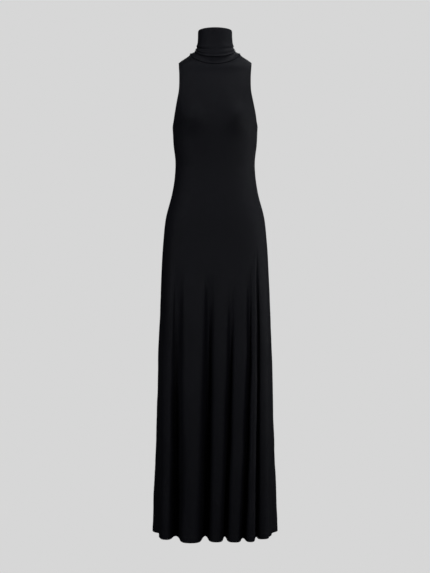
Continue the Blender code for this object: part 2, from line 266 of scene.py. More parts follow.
# Soft flutes beside the side seams: -1 for the left seam and 1 for the right, how far from it along the
# cloth and how much further by the hem, where the flute starts, its half width and its rise at the hem
Flute = namedtuple("Flute", "side inward drift top width rise")
FRONT_FLUTES = (
    Flute(-1, 26.0, 6.0, -760.0, 13.0, 3.6),
    Flute(-1, 62.0, 14.0, -840.0, 15.0, -4.2),
    Flute(-1, 104.0, 8.0, -980.0, 16.0, 2.6),
    Flute(1, 34.0, 10.0, -900.0, 14.0, -4.0),
    Flute(1, 72.0, 16.0, -720.0, 17.0, 3.8),
    Flute(1, 112.0, 10.0, -1040.0, 13.0, -2.0),
)
BACK_FLUTES = (
    Flute(-1, 38.0, 12.0, -820.0, 15.0, -4.4),
    Flute(-1, 80.0, 10.0, -700.0, 17.0, 3.6),
    Flute(1, 24.0, 8.0, -780.0, 13.0, 3.4),
    Flute(1, 66.0, 16.0, -930.0, 16.0, -4.2),
    Flute(1, 108.0, 8.0, -860.0, 15.0, 2.2),
)
FLUTE_WIDTHS = (0.7, 1.2)

# Broad, low unevenness that every hanging cloth has: more in the loose skirt than on the fitted body
NOISE_SEED = 7
NOISE_WAVES = 9
NOISE_RISE = 0.0022
NOISE_LENGTHS = (46.0, 150.0)
NOISE_UPWARD = 0.45
NOISE_BEND = 0.8
NOISE_BEND_LENGTH = 171.0
LOOSE_HEIGHT, FITTED_HEIGHT = -900.0, -560.0
BODY_UNEVEN, SKIRT_UNEVEN = 0.55, 1.25
HEM_QUIET = 60.0

# How the sewing shapes the cloth: the groove along each row of stitches, the band that stands out where
# an edge is turned, with how softly it ends, and the small gathers along a seam. The half width of the
# groove in the collar's seam is in rings, and all else is in millimetres.
Groove = namedtuple("Groove", "depth half_width")
SIDE_GROOVE = Groove(0.5, 1.8)
ARMHOLE_GROOVE = Groove(0.6, 1.1)
HEM_GROOVE = Groove(0.4, 0.9)
SHOULDER_GROOVE = Groove(0.45, 1.6)
NECK_GROOVE = Groove(1.5, 2.2)
COLLAR_GROOVE = Groove(0.35, 0.8)
COLLAR_SEAM_GROOVE = Groove(1.3, 0.22)

Band = namedtuple("Band", "turn rise softness")
ARMHOLE_BAND = Band(ARMHOLE_TURN, 0.3, 1.2)
HEM_BAND = Band(HEM_TURN, 0.32, 2.0)
COLLAR_BAND = Band(COLLAR_TURN, 0.25, 1.5)
COLLAR_FLARE, FLARE_REACH = 0.9, 6.0

Gathers = namedtuple("Gathers", "rise spacing reach")
SIDE_GATHERS = Gathers(0.32, 15.0, 9.0)
ARMHOLE_GATHERS = Gathers(0.2, 11.0, 5.0)
HEM_GATHERS = Gathers(0.34, 14.0, 10.0)
SHOULDER_GATHERS = Gathers(0.28, 12.0, 8.0)
HEM_GATHERS_HEIGHT = 14.0
SIDE_SLANT, HEM_SLANT = 3.0, 0.5
FRONT_PHASE, BACK_PHASE = 0.9, 2.3

# How the gathers differ along a seam: how far two slow waves shift them, and how much a third changes their
# rise about its middle, each with its length in gathers
WANDER, WANDER_LENGTH = 1.9, 2.9
FINE_WANDER, FINE_WANDER_LENGTH = 0.8, 1.1
SWELL_MIDDLE, SWELL, SWELL_LENGTH = 0.55, 0.45, 6.7

# Where the side seams give way to the armholes, and the shoulder seams to the neck seam
YOKE_STARTS, YOKE_FULL = UNDERARM - 8, UNDERARM + 6
NECK_GROOVE_STARTS, NECK_GROOVE_FULL = NECK_HALF_WIDTH + 6, NECK_HALF_WIDTH - 4


def smooth(rows, column, at):
    """A table's named column as a smooth curve over its first column, read at many places."""
    places = np.array([row[0] for row in rows], float)
    values = np.array([getattr(row, column) for row in rows], float)
    return curve(places, values, at)


def curve(places, values, at):
    """A smooth curve through values at places in rising order, read at many places."""
    slopes = np.gradient(values, places)
    at = np.clip(at, places[0], places[-1])
    i = np.clip(np.searchsorted(places, at) - 1, 0, len(places) - 2)
    span = places[i + 1] - places[i]
    t = (at - places[i]) / span
    rise = values[i + 1] - values[i]
    start, end = slopes[i] * span, slopes[i + 1] * span
    return values[i] + t * (start + t * (3 * rise - 2 * start - end + t * (start + end - 2 * rise)))


def mix(a, b, share):
    """The value at a share of the way from a to b."""
    return a + (b - a) * share


def ease(at, start, end):
    """Rises smoothly from 0 at start to 1 at end."""
    t = np.clip((at - start) / (end - start), 0.0, 1.0)
    return t * t * (3 - 2 * t)


def hump(at, middle, spread):
    """Rises smoothly to 1 at the middle and falls away on both sides."""
    return np.exp(-(((at - middle) / spread) ** 2))


def past_seam(seam, inside):
    """The point that a curve would reach past the side seam, so that it crosses the seam squarely."""
    beyond = 2 * seam - inside
    beyond[0] = inside[0]
    return beyond


def spline(a, b, c, d, t):
    """A round curve from b to c, where a and d are the points before and after them."""
    cubed = 3 * b - a - 3 * c + d
    return 0.5 * (2 * b + (c - a) * t + (2 * a - 5 * b + 4 * c - d) * t**2 + cubed * t**3)


def across(start_width, end_width, t):
    """The share of the way between two folds where a column stands: the wider fold takes more of it."""
    share = start_width / (start_width + end_width)
    t += ROUNDNESS * math.sin(math.tau * t)
    return t / ((1 / share - 2) * (1 - t) + 1)


def column_table(folds):
    """For each column of a panel, what its fold's row says, with the rows between worked out."""
    points = [np.array(fold) for fold in folds]
    ends = [past_seam(points[0], points[1]), *points, past_seam(points[-1], points[-2])]
    last = len(folds) - 2
    columns = []
    for i in range(last + 1):
        start, end = folds[i], folds[i + 1]
        for step in range(STEPS):
            t = step / STEPS
            column = spline(*ends[i : i + 4], t)
            if i == 0:
                column[0] = mix(start.hem_x, end.hem_x, t**2)
            elif i == last:
                column[0] = mix(end.hem_x, start.hem_x, (1 - t) ** 2)
            else:
                share = across(start.width, end.width, t)
                column[0] = mix(start.hem_x, end.hem_x, share)
                column[3] = mix(start.hip_angle, end.hip_angle, share)
            columns.append(column)
    return Fold(*np.array([*columns, points[-1]]).T)


def depth_name(facing):
    return "front_depth" if facing < 0 else "back_depth"


def bust(x, height):
    """How far the front is pushed out at a place by the two soft fullnesses of the bust."""
    sideways = (np.abs(x) - BUST_FROM_CENTRE) / BUST_SPREAD
    upwards = (height - BUST_HEIGHT) / BUST_RISE
    return BUST_FULLNESS * np.exp(-(sideways**2) - upwards**2)


def fold_growth(top, height):
    """How much of its depth at the hem a fold has at a height, from 0 at its top to 1 at the hem."""
    down = np.clip((top - height) / (top - HEM), 0.0, 1.0)
    return down**FOLD_POWER * (1 - np.exp(-down / FOLD_START))


def outward_share(share, squareness):
    """How far out a level section is, as a share of its depth, at a share of its half width."""
    return np.clip(1 - np.abs(share) ** squareness, 0.0, 1.0) ** (1 / squareness)


def skirt_points(columns, evenly, height, facing):
    """The points of a panel below the underarm, where a panel runs from side seam to side seam."""
    blend = ease(height, FOLDS_BLEND_TOP, FOLDS_BLEND_END)
    angle = np.radians(mix(evenly * 90, columns.hip_angle, blend))
    half_width = smooth(SECTIONS, "half_width", height)
    depth = smooth(SECTIONS, depth_name(facing), height)
    squareness = smooth(SECTIONS, "squareness", height)
    x, out = half_width * np.sin(angle), depth * outward_share(np.sin(angle), squareness)
    plain_x = SECTIONS[0].half_width * np.sin(angle)
    plain_out = getattr(SECTIONS[0], depth_name(facing)) * np.cos(angle)
    grown = fold_growth(columns.top, height)
    x = x + (columns.hem_x - plain_x) * grown**LEAN_POWER
    out = out + (columns.hem_depth - plain_out) * grown
    if facing < 0:
        out = out + bust(x, height)
    return x, out


def neck_points(x, facing):
    """Where the neck seam lies at a distance from the centre: its depth and height."""
    forward = np.sqrt(np.clip(1 - (x / NECK_HALF_WIDTH) ** 2, 0.0, 1.0))
    depth = NECK_FRONT_DEPTH if facing < 0 else NECK_BACK_DEPTH
    height = NECK_FRONT_HEIGHT if facing < 0 else NECK_BACK_HEIGHT
    return depth * forward, mix(NECK_SIDE_HEIGHT, height, forward**NECK_DIP_POWER)


def top_points(evenly, facing):
    """Where the columns end at the top: one of them ends just where the neck meets the shoulder."""
    inner = 1 - 2 * SHOULDER_SHARE
    side = np.abs(evenly)
    in_neck = side <= inner
    neck_x = NECK_HALF_WIDTH * np.sin(np.radians(90 * np.minimum(side / inner, 1)))
    neck_out, neck_height = neck_points(neck_x, facing)
    seam_height = mix(NECK_SIDE_HEIGHT, SHOULDER_TIP, np.clip((side - inner) / (1 - inner), 0, 1))
    x = np.where(in_neck, neck_x, smooth(SECTIONS, "half_width", seam_height))
    out = np.where(in_neck, neck_out, 0.0)
    height = np.where(in_neck, neck_height, seam_height)
    return np.copysign(x, evenly), out, height


def section_out(x, height, facing):
    """How far out the level section at a height is, at a distance from the centre."""
    half_width = smooth(SECTIONS, "half_width", height)
    depth = smooth(SECTIONS, depth_name(facing), height)
    out = depth * outward_share(x / half_width, smooth(SECTIONS, "squareness", height))
    return out + bust(x, height) if facing < 0 else out


def yoke_points(evenly, share, facing):
    """The points of a panel above the underarm, from armhole to armhole and up to the neck or shoulder."""
    top_x, top_out, top_height = top_points(evenly, facing)
    height = mix(UNDERARM, top_height, share)
    edge = smooth(ARMHOLE, "half_width", mix(UNDERARM, SHOULDER_TIP, share))
    x = edge * mix(np.sin(np.radians(evenly * 90)), top_x / ARMHOLE[-1].half_width, share)
    near_top = np.clip(1 - (top_height - height) / NECK_EASE, 0.0, 1.0) ** 2
    to_seam = top_out - section_out(top_x, top_height, facing)
    return x, section_out(x, height, facing) + to_seam * near_top, height


def body_heights():
    """Rows from the hem up to the underarm, close together where the hem is turned and stitched."""
    above = HEM + HEM_ROWS[-1]
    rows = round((UNDERARM - above) / BODY_ROW)
    plain_rows = [mix(above, UNDERARM, i / rows) for i in range(1, rows)]
    return np.array([HEM + row for row in HEM_ROWS] + plain_rows)


def panel_points(folds, facing):
    """A panel's middle surface as rows of points, from the hem to its top."""
    columns = column_table(folds)
    evenly = np.linspace(-1, 1, len(columns.hem_x))[None, :]
    heights = body_heights()[:, None]
    x, out = skirt_points(columns, evenly, heights, facing)
    below = np.stack([x, facing * (out + SEAM_GAP / 2), np.broadcast_to(heights, x.shape)], axis=2)
    shares = ((1 - np.cos(np.pi * np.arange(YOKE_ROWS + 1) / YOKE_ROWS)) / 2)[:, None]
    x, out, height = yoke_points(evenly, shares, facing)
    above = np.stack([x, facing * (out + SEAM_GAP / 2), height], axis=2)
    return np.concatenate([below, above])


def lengths(points, axis):
    """The distance along the cloth from the first row or column to each one."""
    steps = np.linalg.norm(np.diff(points, axis=axis), axis=2)
    start = np.zeros_like(np.take(steps, [0], axis=axis))
    return np.concatenate([start, np.cumsum(steps, axis=axis)], axis=axis)


def normals(points, facing):
    """The direction out of the cloth's face at each point of a grid whose rows go up.

    Facing is -1 where the columns run to the right as one looks at the face, and 1 where they run left.
    """
    right, up = np.gradient(points, axis=1), np.gradient(points, axis=0)
    found = np.cross(right, up) * -facing
    return found / np.maximum(np.linalg.norm(found, axis=2, keepdims=True), 1e-9)


def crease_rise(creases, x, height):
    """How far the listed creases lift or sink the cloth."""
    total = np.zeros_like(x)
    for crease in creases:
        run_x, run_up = crease.end_x - crease.x, crease.end_height - crease.height
        length = math.hypot(run_x, run_up)
        from_x, from_up = x - crease.x, height - crease.height
        t = (from_x * run_x + from_up * run_up) / length**2
        aside = (from_up * run_x - from_x * run_up) / length
        aside = aside - crease.bow * 4 * t * (1 - t)
        width = crease.width * (CREASE_WIDTH + CREASE_WIDENING * np.clip(t, 0, 1))
        fade = ease(t, *CREASE_RISES) * (1 - ease(t, *CREASE_FADES))
        total += crease.rise * fade * np.exp(-((aside / width) ** 2))
    return total


def flute_rise(flutes, from_left, height):
    """How far the soft flutes beside the side seams lift or sink the cloth."""
    total = np.zeros_like(from_left)
    for flute in flutes:
        inward = from_left if flute.side < 0 else from_left[:, -1:] - from_left
        grown = ease(height, flute.top, HEM)
        width = flute.width * mix(*FLUTE_WIDTHS, grown)
        total += flute.rise * grown * hump(inward, flute.inward + flute.drift * grown, width)
    return total


def unevenness(seed, across_cloth, up_cloth):
    """A few seeded waves in different directions, added together."""
    random = np.random.default_rng(seed)
    total = np.zeros_like(across_cloth)
    for _ in range(NOISE_WAVES):
        turn = random.uniform(0, math.pi)
        length = random.uniform(*NOISE_LENGTHS)
        phase = random.uniform(0, math.tau)
        along = across_cloth * math.cos(turn) + NOISE_UPWARD * up_cloth * math.sin(turn)
        bend = NOISE_BEND * np.sin(up_cloth / NOISE_BEND_LENGTH + phase)
        total += np.sin(math.tau * along / length + phase + bend) * length
    return total * NOISE_RISE


def gathered(gathers, along, away, phase):
    """Small gathers along a seam, uneven in length and in rise, that die out away from it."""
    far = along / gathers.spacing
    wander = WANDER * np.sin(far / WANDER_LENGTH + phase)
    wander += FINE_WANDER * np.sin(far / FINE_WANDER_LENGTH + 2 * phase)
    swell = SWELL_MIDDLE + SWELL * np.sin(far / SWELL_LENGTH + 1.7 * phase)
    return gathers.rise * away * np.sin(math.tau * far + wander) * swell


def grooved(groove, distance):
    """How deep a groove is at a distance from its middle."""
    return groove.depth * hump(distance, 0.0, groove.half_width)


def banded(band, distance):
    """How far a turned edge stands out at a distance from its fold."""
    return band.rise * (1 - ease(distance, band.turn - STITCH_INSET, band.turn + band.softness))


def panel_relief(points, creases, flutes, facing):
    """How far each point of a panel stands out of its smooth form."""
    x, height = points[:, :, 0], points[:, :, 2]
    from_left, from_hem = lengths(points, 1), lengths(points, 0)
    from_side = np.minimum(from_left, from_left[:, -1:] - from_left)
    from_top = from_hem[-1:, :] - from_hem
    centred = from_left - from_left[:, from_left.shape[1] // 2][:, None]
    yoke = ease(height, YOKE_STARTS, YOKE_FULL)
    phase = FRONT_PHASE if facing < 0 else BACK_PHASE
    relief = crease_rise(creases, x, height) + flute_rise(flutes, from_left, height)
    skirt = 1 - ease(height, LOOSE_HEIGHT, FITTED_HEIGHT)
    amount = mix(BODY_UNEVEN, SKIRT_UNEVEN, skirt) * ease(from_hem, 0, HEM_QUIET)
    relief += unevenness(NOISE_SEED + facing, centred, from_hem) * amount
    # Side seams below the underarm
    beside = np.exp(-from_side / SIDE_GATHERS.reach)
    relief += (1 - yoke) * gathered(SIDE_GATHERS, height + SIDE_SLANT * from_side, beside, phase)
    relief -= (1 - yoke) * grooved(SIDE_GROOVE, from_side)
    # Turned armholes, proud of the cloth beside them and drawn in at their stitches
    beside = hump(from_side, ARMHOLE_TURN, ARMHOLE_GATHERS.reach)
    relief += yoke * banded(ARMHOLE_BAND, from_side)
    relief -= yoke * grooved(ARMHOLE_GROOVE, from_side - ARMHOLE_TURN + STITCH_INSET)
    relief += yoke * gathered(ARMHOLE_GATHERS, from_hem, beside, phase)
    # The turned hem, with the faint slanting drag that its two rows of stitches give it
    beside = hump(from_hem, HEM_GATHERS_HEIGHT, HEM_GATHERS.reach)
    relief += banded(HEM_BAND, from_hem)
    for row in HEM_STITCHES:
        relief -= grooved(HEM_GROOVE, from_hem - row)
    relief += gathered(HEM_GATHERS, centred + HEM_SLANT * from_hem, beside, phase)
    # Shoulder seams, and the deeper seam under the collar
    at_neck = ease(np.abs(x), NECK_GROOVE_STARTS, NECK_GROOVE_FULL)
    beside = np.exp(-from_top / SHOULDER_GATHERS.reach)
    depth = mix(SHOULDER_GROOVE.depth, NECK_GROOVE.depth, at_neck)
    half_width = mix(SHOULDER_GROOVE.half_width, NECK_GROOVE.half_width, at_neck)
    relief -= grooved(Groove(depth, half_width), from_top)
    relief += gathered(SHOULDER_GATHERS, centred, beside, phase + 1)
    return relief


def at_distance(distance, points, along):
    """The points of one line of cloth at distances along it."""
    return np.stack([np.interp(distance, along, points[:, k]) for k in range(3)], axis=1)


def turned_edge(points, outward, turn, layer, first):
    """Rows of cloth turned under along a grid's first or last row, from the raw edge to the fold."""
    if not first:
        points, outward = points[::-1], outward[::-1]
    along = lengths(points, 0)
    made = []
    for column in range(points.shape[1]):
        reach = turn[column] * np.array(TURN_SHARES)
        line = at_distance(reach, points[:, column], along[:, column])
        out = at_distance(reach, outward[:, column], along[:, column])
        made.append(line - out * layer)
    inside = np.stack(made, axis=1)
    fold = points[:1] - outward[:1] * layer / 2 - (points[1:2] - points[:1]) * FOLD_REACH
    rows = np.concatenate([inside, fold])
    return rows if first else rows[::-1]


def across_first(points):
    """A grid with its columns as rows and its rows as columns."""
    return np.transpose(points, (1, 0, 2))


def sheet_mesh(name, points, closed, material):
    """A grid of points in millimetres as a mesh, with its place on the cloth in metres as UVs."""
    rows, columns = points.shape[:2]
    wide = columns if closed else columns - 1
    row, column = np.meshgrid(np.arange(rows - 1), np.arange(wide), indexing="ij")
    right = (column + 1) % columns
    below, above = row * columns, (row + 1) * columns
    corners = [below + column, below + right, above + right, above + column]
    faces = np.stack(corners, axis=2).reshape(-1, 4)
    mesh = bpy.data.meshes.new(name)
    mesh.from_pydata((points.reshape(-1, 3) * MM).tolist(), [], faces.tolist())
    ring = np.concatenate([points, points[:, :1]], axis=1) if closed else points
    u, v = lengths(ring, 1), lengths(ring, 0)
    u = u - u[:, u.shape[1] // 2][:, None]
    next_column = column + 1
    places = [(row, column), (row, next_column), (row + 1, next_column), (row + 1, column)]
    uv = np.stack([np.stack([u[place], v[place]], axis=2) for place in places], axis=2) * MM
    layer = mesh.uv_layers.new(name="cloth")
    layer.data.foreach_set("uv", uv.reshape(-1).astype(np.float32))
    mesh.shade_smooth()
    mesh.materials.append(material)
    mesh.update()
    return mesh


def add_piece(name, mesh, thickness=0.0):
    """A mesh as a piece of the dress, with a wall of the given thickness if it is a sheet."""
    piece = bpy.data.objects.new(name, mesh)
    bpy.context.scene.collection.objects.link(piece)
    if thickness:
        wall = piece.modifiers.new("cloth", "SOLIDIFY")
        wall.thickness = thickness * MM
        wall.offset = 0
        wall.use_even_offset = False
    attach(piece, "root")
    return piece


# Stitches: their size, how thick each is from end to end, and how far it lies out of the cloth there
Stitch = namedtuple("Stitch", "pitch length radius")
HEM_STITCH = Stitch(4.0, 3.1, 0.26)
EDGE_STITCH = Stitch(3.4, 2.6, 0.24)
STITCH_SIDES = 6
STITCH_PROFILE = ((-1.0, 0.15), (-0.7, 0.8), (-0.2, 1.0), (0.2, 1.0), (0.7, 0.8), (1.0, 0.15))
STITCH_LIFT, STITCH_DIP = 0.75, 0.9


def stitch_row(points, outward, stitch):
    """One row of raised stitches along a line on the cloth: their corners and faces."""
    steps = np.linalg.norm(np.diff(points, axis=0), axis=1)
    along = np.concatenate([[0], np.cumsum(steps)])
    count = int((along[-1] - 2 * stitch.pitch) / stitch.pitch)
    corners, faces = [], []
    for i in range(count):
        middle = (i + 1.5) * stitch.pitch
        start = at_distance([middle - stitch.length / 2], points, along)[0]
        end = at_distance([middle + stitch.length / 2], points, along)[0]
        out = at_distance([middle], outward, along)[0]
        out /= np.linalg.norm(out)
        direction = (end - start) / np.linalg.norm(end - start)
        side = np.cross(direction, out)
        base = len(corners)
        for place, thick in STITCH_PROFILE:
            lift = CLOTH / 2 + stitch.radius * (STITCH_LIFT - STITCH_DIP * place**2)
            centre = mix(start, end, (place + 1) / 2) + out * lift
            for k in range(STITCH_SIDES):
                turn = math.tau * k / STITCH_SIDES
                spoke = out * math.cos(turn) + side * math.sin(turn)
                corners.append(centre + stitch.radius * thick * spoke)
        rings = len(STITCH_PROFILE)
        for r in range(rings - 1):
            ring = base + r * STITCH_SIDES
            for k in range(STITCH_SIDES):
                a, b = ring + k, ring + (k + 1) % STITCH_SIDES
                faces.append((a, a + STITCH_SIDES, b + STITCH_SIDES, b))
        faces.append(tuple(base + k for k in range(STITCH_SIDES)))
        end_ring = base + (rings - 1) * STITCH_SIDES
        faces.append(tuple(end_ring + k for k in reversed(range(STITCH_SIDES))))
    return corners, faces


def stitch_piece(name, rows, material):
    """All the rows of stitches on one panel, as one piece."""
    corners, faces = [], []
    for points, outward, stitch in rows:
        new_corners, new_faces = stitch_row(points, outward, stitch)
        faces += [tuple(len(corners) + i for i in face) for face in new_faces]
        corners += new_corners
    mesh = bpy.data.meshes.new(name)
    mesh.from_pydata([tuple(corner * MM) for corner in corners], [], faces)
    mesh.shade_smooth()
    mesh.materials.append(material)
    mesh.update()
    return add_piece(name, mesh)


def line_beside(points, outward, distance, side):
    """The line of cloth at a distance from a grid's first or last column."""
    if side > 0:
        points, outward = points[:, ::-1], outward[:, ::-1]
    along = lengths(points, 1)
    line = [at_distance([distance], points[i], along[i])[0] for i in range(len(points))]
    out = [at_distance([distance], outward[i], along[i])[0] for i in range(len(points))]
    return np.array(line), np.array(out)


def make_panel(name, folds, creases, flutes, facing, jersey, thread):
    """The front or the back, one piece of cloth from the shoulders to the hem."""
    form = panel_points(folds, facing)
    relief = panel_relief(form, creases, flutes, facing)
    points = form + normals(form, facing) * relief[:, :, None]
    outward = normals(points, facing)
    rows, columns = points.shape[:2]
    yoke_starts = rows - YOKE_ROWS - 1

    # Stitches along the hem and the armholes
    seams = []
    flipped, flipped_out = across_first(points), across_first(outward)
    for distance in HEM_STITCHES:
        line, out = line_beside(flipped, flipped_out, distance, -1)
        seams.append((line, out, HEM_STITCH))
    yoke, yoke_out = points[yoke_starts:], outward[yoke_starts:]
    for side in (-1, 1):
        line, out = line_beside(yoke, yoke_out, ARMHOLE_TURN - STITCH_INSET, side)
        seams.append((line, out, EDGE_STITCH))
    stitching = stitch_piece(name + "_stitching", seams, thread)

    # Turned edges: the hem and the top first, then both sides
    hem = turned_edge(points, outward, np.full(columns, HEM_TURN), LAYER, True)
    top = turned_edge(points, outward, np.full(columns, ALLOWANCE), LAYER, False)
    whole = np.concatenate([hem, points, top])
    hem_out, top_out = np.repeat(outward[:1], len(hem), 0), np.repeat(outward[-1:], len(top), 0)
    whole_out = np.concatenate([hem_out, outward, top_out])
    in_yoke = ease(whole[:, 0, 2], ARMHOLE_TURN_STARTS, ARMHOLE_TURN_FULL)
    turn = mix(ALLOWANCE, ARMHOLE_TURN, in_yoke)
    sideways, sideways_out = across_first(whole), across_first(whole_out)
    left = turned_edge(sideways, sideways_out, turn, SIDE_LAYER, True)
    right = turned_edge(sideways, sideways_out, turn, SIDE_LAYER, False)
    whole = across_first(np.concatenate([left, sideways, right]))
    if facing > 0:
        whole = whole[:, ::-1]
    panel = add_piece(name + "_panel", sheet_mesh(name + "_panel", whole, False, jersey), CLOTH)
    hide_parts(name)
    return panel, stitching


def collar_points():
    """The collar's middle surface as rings of points, and each ring's place and each point's angle."""
    rings = np.arange(len(COLLAR), dtype=float)
    at = np.linspace(0, len(COLLAR) - 1, (len(COLLAR) - 1) * RING_STEPS + 1)
    ring = {}
    for field in Ring._fields:
        values = np.array([getattr(row, field) for row in COLLAR])
        ring[field] = curve(rings, values, at)[:, None]
    angle = (math.tau * np.arange(COLLAR_COLUMNS) / COLLAR_COLUMNS)[None, :]
    forward, sideways = np.cos(angle), np.sin(angle)
    depth = np.where(forward > 0, ring["front_depth"], ring["back_depth"])
    end = np.where(forward > 0, ring["front_height"], ring["back_height"])
    height = mix(ring["side_height"], end, np.abs(forward) ** NECK_DIP_POWER)
    return np.stack([ring["half_width"] * sideways, -depth * forward, height], axis=2), at[:, None], angle


def collar_normals(points):
    """The direction out of the cloth's face round a closed tube."""
    looped = np.concatenate([points[:, -1:], points, points[:, :1]], axis=1)
    return normals(looped, 1)[:, 1:-1]


def waves(rows, at, angle):
    """The height of a table of slow waves at each place on the collar."""
    return sum(row.rise * np.sin(row.count * angle + row.turn * at + row.start) for row in rows)


def collar_relief(at, angle):
    """How far each point of the collar stands out of its smooth form, before its edge is turned."""
    forward, sideways = np.cos(angle), np.sin(angle)
    at_side = np.abs(sideways) ** SLOUCH_POWER * (1 - SLOUCH_SIDE_FADE * sideways**6)
    at_side = at_side * np.where(forward > 0, 1.0, SLOUCH_AT_BACK)
    at_side = at_side * np.where(sideways < 0, SLOUCH_AT_LEFT, SLOUCH_AT_RIGHT)
    bent = at + waves(SLOUCH_WAVES, at, angle)
    relief = at_side * sum(slouch.rise * hump(bent, slouch.ring, slouch.spread) for slouch in SLOUCH)
    relief -= grooved(COLLAR_SEAM_GROOVE, at - SEAM_RING)
    relief += ease(at, OUTER_STARTS, OUTER_FULL) * waves(COLLAR_WAVES, at, angle)
    return relief


def make_collar(jersey, thread):
    """The rolled turtleneck, one tube of cloth that is turned over on itself."""
    form, at, angle = collar_points()
    points = form + collar_normals(form) * collar_relief(at, angle)[:, :, None]
    outward = collar_normals(points)
    along = lengths(points, 0)
    from_edge = along[-1:] - along
    flare = COLLAR_FLARE * (1 - ease(from_edge, 0, FLARE_REACH))
    groove = grooved(COLLAR_GROOVE, from_edge - COLLAR_TURN + STITCH_INSET)
    points = points + outward * (banded(COLLAR_BAND, from_edge) - groove + flare)[:, :, None]

    # Stitches round the turned edge
    flipped, flipped_out = across_first(points), across_first(outward)
    line, out = line_beside(flipped, flipped_out, COLLAR_TURN - STITCH_INSET, 1)
    closed_line, closed_out = np.concatenate([line, line[:1]]), np.concatenate([out, out[:1]])
    stitching = stitch_piece("collar_stitching", [(closed_line, closed_out, EDGE_STITCH)], thread)

    edge = turned_edge(points, outward, np.full(COLLAR_COLUMNS, COLLAR_TURN), LAYER, False)
    whole = np.concatenate([points, edge])
    collar = add_piece("collar_roll", sheet_mesh("collar_roll", whole, True, jersey), CLOTH)
    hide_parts("collar")
    return collar, stitching


class Nodes:
    """A short way to add and link a material's nodes."""

    def __init__(self, name):
        self.material = bpy.data.materials.new(name)
        self.material.use_nodes = True
        self.tree = self.material.node_tree
        self.shader = self.tree.nodes["Principled BSDF"]

    def add(self, kind, **inputs):
        node = self.tree.nodes.new(kind)
        for key, value in inputs.items():
            self.put(node, key.replace("_", " "), value)
        return node

    def put(self, node, key, value):
        socket = node.inputs[int(key)] if key.isdigit() else node.inputs[key]
        if isinstance(value, bpy.types.NodeSocket):
            self.tree.links.new(value, socket)
        else:
            socket.default_value = value

    def math(self, operation, first, second=0.0):
        node = self.tree.nodes.new("ShaderNodeMath")
        node.operation = operation
        self.put(node, "0", first)
        self.put(node, "1", second)
        return node.outputs[0]

    def ranged(self, value, taken, given):
        """A value taken from one range and given in another."""
        node = self.add("ShaderNodeMapRange", Value=value)
        for key, limit in zip(("From Min", "From Max", "To Min", "To Max"), (*taken, *given)):
            self.put(node, key, limit)
        return node.outputs["Result"]

    def blend(self, share, first, second):
        """A colour between two, by a share."""
        node = self.tree.nodes.new("ShaderNodeMix")
        node.data_type = "RGBA"
        self.put(node, "0", share)
        node.inputs[6].default_value = first
        node.inputs[7].default_value = second
        return node.outputs[2]

    def triangle(self, value):
        """From 0 in the middle of each unit to 1 at its ends."""
        part = self.math("FRACT", value)
        return self.math("MULTIPLY", self.math("ABSOLUTE", self.math("SUBTRACT", part, 0.5)), 2.0)


# The jersey's knit: how wide one column of loops is, how high and how deep one loop, in metres
WALE = 0.00085
COURSE = 0.00075
KNIT_DEPTH = 0.00022
KNIT_STRENGTH = 0.55
LOOP_SLANT = 0.5
LOOP_FULLNESS = 0.6
FIBRE_SCALE, FIBRE_SHARE = 2600.0, 0.5

# The jersey's colour and finish, and how its uneven dye is mixed from broad and fine patches
DARK_JERSEY = (0.0096, 0.0097, 0.0132, 1.0)
LIGHT_JERSEY = (0.0124, 0.0125, 0.0172, 1.0)
DYE_TONES = (0.35, 0.65)
JERSEY_ROUGHNESS = (0.54, 0.66)
ROUGHNESS_TONES = (0.3, 0.7)
JERSEY_GLOSS = 0.184
BROAD_SCALE, BROAD_SHARE = 9.0, 0.6
FINE_SCALE, FINE_SHARE = 700.0, 0.4
UPWARD_STRETCH = (1.0, 1.0, 0.35)

# The thread's colour, finish and twist
DARK_THREAD = (0.006, 0.006, 0.0075, 1.0)
LIGHT_THREAD = (0.012, 0.012, 0.014, 1.0)
THREAD_TONE_SCALE = 60.0
THREAD_ROUGHNESS = 0.5
THREAD_GLOSS = 0.3
TWIST_SCALE, TWIST_UNEVEN = 900.0, 1.5
TWIST_DEPTH, TWIST_STRENGTH = 0.0001, 0.4


